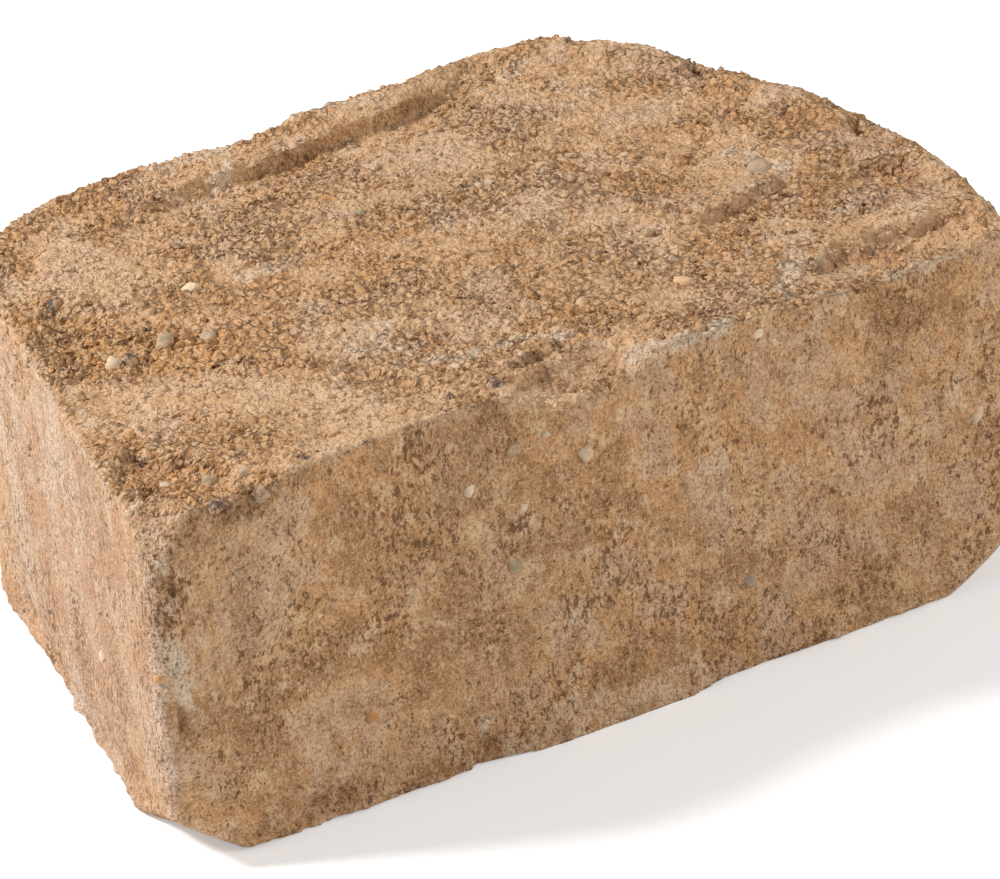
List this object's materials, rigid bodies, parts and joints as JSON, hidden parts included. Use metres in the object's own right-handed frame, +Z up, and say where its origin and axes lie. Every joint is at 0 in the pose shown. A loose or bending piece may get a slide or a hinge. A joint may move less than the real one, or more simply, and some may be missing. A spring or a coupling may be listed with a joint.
{
  "type": "retaining wall block",
  "caption": "Tumbled concrete garden retaining wall block, trapezoid in plan, with a wide wavy front face, tapered sides, a raised rear lip on top and worn, chipped edges.",
  "frame": {"origin": "on the floor under the middle of the block's bounding box", "axes": "+X along the wide front face to the right, +Y from the front face to the narrow rear face, +Z up from the bed to the top"},
  "size_m": [0.265, 0.179, 0.102],
  "materials": {
    "concrete": "rough, sandy tan concrete with pale smears and small stones"
  },
  "bodies": {
    "root": {"wall_block": "concrete"}
  },
  "joints": []
}
